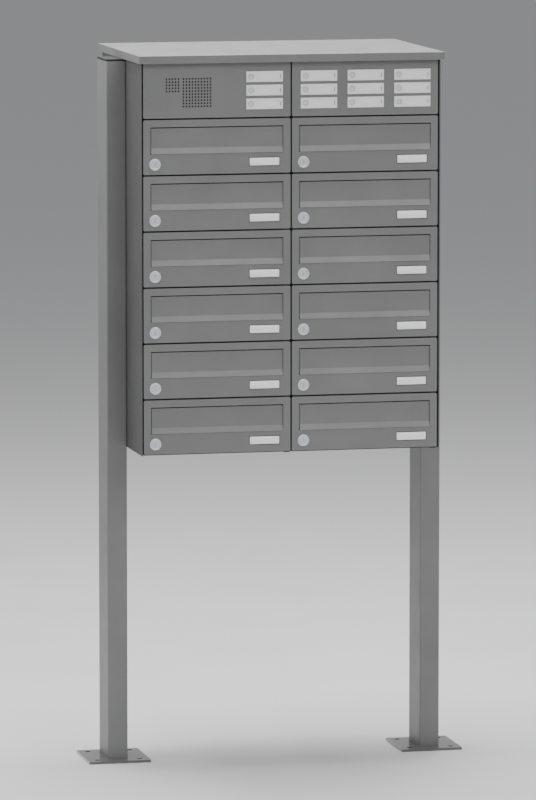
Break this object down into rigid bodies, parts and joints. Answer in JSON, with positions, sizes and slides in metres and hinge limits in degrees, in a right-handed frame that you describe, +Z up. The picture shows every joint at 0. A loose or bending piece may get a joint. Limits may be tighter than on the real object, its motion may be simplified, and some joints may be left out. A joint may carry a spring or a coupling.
{
  "type": "cluster mailbox unit",
  "caption": "Free-standing cluster mailbox unit: two columns of letterboxes with flaps and locked doors under an intercom and bell row, with a flat roof and two posts on base plates.",
  "frame": {"origin": "on the ground, midway between the posts, at the middle of the case's depth", "axes": "+Z up, +X along the front from the left post to the right post, -Y out of the door fronts"},
  "size_m": [0.765, 0.413, 1.417],
  "materials": {
    "frame_paint": "fine-textured grey powder coat on steel tube",
    "base_paint": "semi-gloss grey powder coat on steel plate",
    "case_paint": "fine-textured grey powder coat on sheet steel",
    "front_paint": "satin, fine-textured grey powder coat on sheet steel",
    "roof_paint": "satin grey powder coat on sheet steel",
    "lock_metal": "satin nickel-plated lock cylinder",
    "bell_metal": "fine-brushed anodised aluminium",
    "button_metal": "satin stainless steel",
    "name_card": "white card behind a clear cover",
    "clear_cover": "clear moulded cover",
    "black_plastic": "black moulded plastic",
    "zinc_steel": "zinc-plated steel"
  },
  "bodies": {
    "frame": {"posts": "frame_paint", "post_caps": "black_plastic", "base_plates": "base_paint", "casing": "case_paint", "compartments": "case_paint", "lock_keepers": "zinc_steel", "roof": "roof_paint", "speaker_panel": "front_paint", "bell_panel": "front_paint", "bell_plates": "bell_metal", "intercom_module": "black_plastic", "fasteners": "zinc_steel"},
    "door_left_1": {"door_left_1": "front_paint"},
    "flap_left_1": {"flap_left_1": "front_paint"},
    "lock_left_1": {"lock_left_1": "lock_metal"},
    "door_left_2": {"door_left_2": "front_paint"},
    "flap_left_2": {"flap_left_2": "front_paint"},
    "lock_left_2": {"lock_left_2": "lock_metal"},
    "door_left_3": {"door_left_3": "front_paint"},
    "flap_left_3": {"flap_left_3": "front_paint"},
    "lock_left_3": {"lock_left_3": "lock_metal"},
    "door_left_4": {"door_left_4": "front_paint"},
    "flap_left_4": {"flap_left_4": "front_paint"},
    "lock_left_4": {"lock_left_4": "lock_metal"},
    "door_left_5": {"door_left_5": "front_paint"},
    "flap_left_5": {"flap_left_5": "front_paint"},
    "lock_left_5": {"lock_left_5": "lock_metal"},
    "door_left_6": {"door_left_6": "front_paint"},
    "flap_left_6": {"flap_left_6": "front_paint"},
    "lock_left_6": {"lock_left_6": "lock_metal"},
    "button_left_1": {"button_left_1": "button_metal"},
    "button_left_2": {"button_left_2": "button_metal"},
    "button_left_3": {"button_left_3": "button_metal"},
    "door_right_1": {"door_right_1": "front_paint"},
    "flap_right_1": {"flap_right_1": "front_paint"},
    "lock_right_1": {"lock_right_1": "lock_metal"},
    "door_right_2": {"door_right_2": "front_paint"},
    "flap_right_2": {"flap_right_2": "front_paint"},
    "lock_right_2": {"lock_right_2": "lock_metal"},
    "door_right_3": {"door_right_3": "front_paint"},
    "flap_right_3": {"flap_right_3": "front_paint"},
    "lock_right_3": {"lock_right_3": "lock_metal"},
    "door_right_4": {"door_right_4": "front_paint"},
    "flap_right_4": {"flap_right_4": "front_paint"},
    "lock_right_4": {"lock_right_4": "lock_metal"},
    "door_right_5": {"door_right_5": "front_paint"},
    "flap_right_5": {"flap_right_5": "front_paint"},
    "lock_right_5": {"lock_right_5": "lock_metal"},
    "door_right_6": {"door_right_6": "front_paint"},
    "flap_right_6": {"flap_right_6": "front_paint"},
    "lock_right_6": {"lock_right_6": "lock_metal"},
    "button_right_1": {"button_right_1": "button_metal"},
    "button_right_2": {"button_right_2": "button_metal"},
    "button_right_3": {"button_right_3": "button_metal"},
    "button_right_4": {"button_right_4": "button_metal"},
    "button_right_5": {"button_right_5": "button_metal"},
    "button_right_6": {"button_right_6": "button_metal"},
    "button_right_7": {"button_right_7": "button_metal"},
    "button_right_8": {"button_right_8": "button_metal"},
    "button_right_9": {"button_right_9": "button_metal"}
  },
  "joints": [
    {"name": "door_left_1_hinge", "type": "hinge", "parent": "frame", "child": "door_left_1", "pos_m": [-0.0085, -0.187, 1.238], "axis": [0, 0, 1], "range_deg": [0, 95]},
    {"name": "flap_left_1_hinge", "type": "hinge", "parent": "door_left_1", "child": "flap_left_1", "pos_m": [-0.14875, -0.1875, 1.2728], "axis": [-1, 0, 0], "range_deg": [0, 75]},
    {"name": "lock_left_1_turn", "type": "hinge", "parent": "door_left_1", "child": "lock_left_1", "pos_m": [-0.2728, -0.1825, 1.2047], "axis": [0, 1, 0], "range_deg": [0, 90]},
    {"name": "door_left_2_hinge", "type": "hinge", "parent": "frame", "child": "door_left_2", "pos_m": [-0.0085, -0.187, 1.128], "axis": [0, 0, 1], "range_deg": [0, 95]},
    {"name": "flap_left_2_hinge", "type": "hinge", "parent": "door_left_2", "child": "flap_left_2", "pos_m": [-0.14875, -0.1875, 1.1628], "axis": [-1, 0, 0], "range_deg": [0, 75]},
    {"name": "lock_left_2_turn", "type": "hinge", "parent": "door_left_2", "child": "lock_left_2", "pos_m": [-0.2728, -0.1825, 1.0947], "axis": [0, 1, 0], "range_deg": [0, 90]},
    {"name": "door_left_3_hinge", "type": "hinge", "parent": "frame", "child": "door_left_3", "pos_m": [-0.0085, -0.187, 1.018], "axis": [0, 0, 1], "range_deg": [0, 95]},
    {"name": "flap_left_3_hinge", "type": "hinge", "parent": "door_left_3", "child": "flap_left_3", "pos_m": [-0.14875, -0.1875, 1.0528], "axis": [-1, 0, 0], "range_deg": [0, 75]},
    {"name": "lock_left_3_turn", "type": "hinge", "parent": "door_left_3", "child": "lock_left_3", "pos_m": [-0.2728, -0.1825, 0.9847], "axis": [0, 1, 0], "range_deg": [0, 90]},
    {"name": "door_left_4_hinge", "type": "hinge", "parent": "frame", "child": "door_left_4", "pos_m": [-0.0085, -0.187, 0.908], "axis": [0, 0, 1], "range_deg": [0, 95]},
    {"name": "flap_left_4_hinge", "type": "hinge", "parent": "door_left_4", "child": "flap_left_4", "pos_m": [-0.14875, -0.1875, 0.9428], "axis": [-1, 0, 0], "range_deg": [0, 75]},
    {"name": "lock_left_4_turn", "type": "hinge", "parent": "door_left_4", "child": "lock_left_4", "pos_m": [-0.2728, -0.1825, 0.8747], "axis": [0, 1, 0], "range_deg": [0, 90]},
    {"name": "door_left_5_hinge", "type": "hinge", "parent": "frame", "child": "door_left_5", "pos_m": [-0.0085, -0.187, 0.798], "axis": [0, 0, 1], "range_deg": [0, 95]},
    {"name": "flap_left_5_hinge", "type": "hinge", "parent": "door_left_5", "child": "flap_left_5", "pos_m": [-0.14875, -0.1875, 0.8328], "axis": [-1, 0, 0], "range_deg": [0, 75]},
    {"name": "lock_left_5_turn", "type": "hinge", "parent": "door_left_5", "child": "lock_left_5", "pos_m": [-0.2728, -0.1825, 0.7647], "axis": [0, 1, 0], "range_deg": [0, 90]},
    {"name": "door_left_6_hinge", "type": "hinge", "parent": "frame", "child": "door_left_6", "pos_m": [-0.0085, -0.187, 0.688], "axis": [0, 0, 1], "range_deg": [0, 95]},
    {"name": "flap_left_6_hinge", "type": "hinge", "parent": "door_left_6", "child": "flap_left_6", "pos_m": [-0.14875, -0.1875, 0.7228], "axis": [-1, 0, 0], "range_deg": [0, 75]},
    {"name": "lock_left_6_turn", "type": "hinge", "parent": "door_left_6", "child": "lock_left_6", "pos_m": [-0.2728, -0.1825, 0.6547], "axis": [0, 1, 0], "range_deg": [0, 90]},
    {"name": "button_left_1_press", "type": "slide", "parent": "frame", "child": "button_left_1", "axis": [0, 1, 0], "range_m": [0, 0.0012], "stiffness_N_per_m": 500, "springref_m": -0.001},
    {"name": "button_left_2_press", "type": "slide", "parent": "frame", "child": "button_left_2", "axis": [0, 1, 0], "range_m": [0, 0.0012], "stiffness_N_per_m": 500, "springref_m": -0.001},
    {"name": "button_left_3_press", "type": "slide", "parent": "frame", "child": "button_left_3", "axis": [0, 1, 0], "range_m": [0, 0.0012], "stiffness_N_per_m": 500, "springref_m": -0.001},
    {"name": "door_right_1_hinge", "type": "hinge", "parent": "frame", "child": "door_right_1", "pos_m": [0.289, -0.187, 1.238], "axis": [0, 0, 1], "range_deg": [0, 95]},
    {"name": "flap_right_1_hinge", "type": "hinge", "parent": "door_right_1", "child": "flap_right_1", "pos_m": [0.14875, -0.1875, 1.2728], "axis": [-1, 0, 0], "range_deg": [0, 75]},
    {"name": "lock_right_1_turn", "type": "hinge", "parent": "door_right_1", "child": "lock_right_1", "pos_m": [0.0247, -0.1825, 1.2047], "axis": [0, 1, 0], "range_deg": [0, 90]},
    {"name": "door_right_2_hinge", "type": "hinge", "parent": "frame", "child": "door_right_2", "pos_m": [0.289, -0.187, 1.128], "axis": [0, 0, 1], "range_deg": [0, 95]},
    {"name": "flap_right_2_hinge", "type": "hinge", "parent": "door_right_2", "child": "flap_right_2", "pos_m": [0.14875, -0.1875, 1.1628], "axis": [-1, 0, 0], "range_deg": [0, 75]},
    {"name": "lock_right_2_turn", "type": "hinge", "parent": "door_right_2", "child": "lock_right_2", "pos_m": [0.0247, -0.1825, 1.0947], "axis": [0, 1, 0], "range_deg": [0, 90]},
    {"name": "door_right_3_hinge", "type": "hinge", "parent": "frame", "child": "door_right_3", "pos_m": [0.289, -0.187, 1.018], "axis": [0, 0, 1], "range_deg": [0, 95]},
    {"name": "flap_right_3_hinge", "type": "hinge", "parent": "door_right_3", "child": "flap_right_3", "pos_m": [0.14875, -0.1875, 1.0528], "axis": [-1, 0, 0], "range_deg": [0, 75]},
    {"name": "lock_right_3_turn", "type": "hinge", "parent": "door_right_3", "child": "lock_right_3", "pos_m": [0.0247, -0.1825, 0.9847], "axis": [0, 1, 0], "range_deg": [0, 90]},
    {"name": "door_right_4_hinge", "type": "hinge", "parent": "frame", "child": "door_right_4", "pos_m": [0.289, -0.187, 0.908], "axis": [0, 0, 1], "range_deg": [0, 95]},
    {"name": "flap_right_4_hinge", "type": "hinge", "parent": "door_right_4", "child": "flap_right_4", "pos_m": [0.14875, -0.1875, 0.9428], "axis": [-1, 0, 0], "range_deg": [0, 75]},
    {"name": "lock_right_4_turn", "type": "hinge", "parent": "door_right_4", "child": "lock_right_4", "pos_m": [0.0247, -0.1825, 0.8747], "axis": [0, 1, 0], "range_deg": [0, 90]},
    {"name": "door_right_5_hinge", "type": "hinge", "parent": "frame", "child": "door_right_5", "pos_m": [0.289, -0.187, 0.798], "axis": [0, 0, 1], "range_deg": [0, 95]},
    {"name": "flap_right_5_hinge", "type": "hinge", "parent": "door_right_5", "child": "flap_right_5", "pos_m": [0.14875, -0.1875, 0.8328], "axis": [-1, 0, 0], "range_deg": [0, 75]},
    {"name": "lock_right_5_turn", "type": "hinge", "parent": "door_right_5", "child": "lock_right_5", "pos_m": [0.0247, -0.1825, 0.7647], "axis": [0, 1, 0], "range_deg": [0, 90]},
    {"name": "door_right_6_hinge", "type": "hinge", "parent": "frame", "child": "door_right_6", "pos_m": [0.289, -0.187, 0.688], "axis": [0, 0, 1], "range_deg": [0, 95]},
    {"name": "flap_right_6_hinge", "type": "hinge", "parent": "door_right_6", "child": "flap_right_6", "pos_m": [0.14875, -0.1875, 0.7228], "axis": [-1, 0, 0], "range_deg": [0, 75]},
    {"name": "lock_right_6_turn", "type": "hinge", "parent": "door_right_6", "child": "lock_right_6", "pos_m": [0.0247, -0.1825, 0.6547], "axis": [0, 1, 0], "range_deg": [0, 90]},
    {"name": "button_right_1_press", "type": "slide", "parent": "frame", "child": "button_right_1", "axis": [0, 1, 0], "range_m": [0, 0.0012], "stiffness_N_per_m": 500, "springref_m": -0.001},
    {"name": "button_right_2_press", "type": "slide", "parent": "frame", "child": "button_right_2", "axis": [0, 1, 0], "range_m": [0, 0.0012], "stiffness_N_per_m": 500, "springref_m": -0.001},
    {"name": "button_right_3_press", "type": "slide", "parent": "frame", "child": "button_right_3", "axis": [0, 1, 0], "range_m": [0, 0.0012], "stiffness_N_per_m": 500, "springref_m": -0.001},
    {"name": "button_right_4_press", "type": "slide", "parent": "frame", "child": "button_right_4", "axis": [0, 1, 0], "range_m": [0, 0.0012], "stiffness_N_per_m": 500, "springref_m": -0.001},
    {"name": "button_right_5_press", "type": "slide", "parent": "frame", "child": "button_right_5", "axis": [0, 1, 0], "range_m": [0, 0.0012], "stiffness_N_per_m": 500, "springref_m": -0.001},
    {"name": "button_right_6_press", "type": "slide", "parent": "frame", "child": "button_right_6", "axis": [0, 1, 0], "range_m": [0, 0.0012], "stiffness_N_per_m": 500, "springref_m": -0.001},
    {"name": "button_right_7_press", "type": "slide", "parent": "frame", "child": "button_right_7", "axis": [0, 1, 0], "range_m": [0, 0.0012], "stiffness_N_per_m": 500, "springref_m": -0.001},
    {"name": "button_right_8_press", "type": "slide", "parent": "frame", "child": "button_right_8", "axis": [0, 1, 0], "range_m": [0, 0.0012], "stiffness_N_per_m": 500, "springref_m": -0.001},
    {"name": "button_right_9_press", "type": "slide", "parent": "frame", "child": "button_right_9", "axis": [0, 1, 0], "range_m": [0, 0.0012], "stiffness_N_per_m": 500, "springref_m": -0.001}
  ]
}
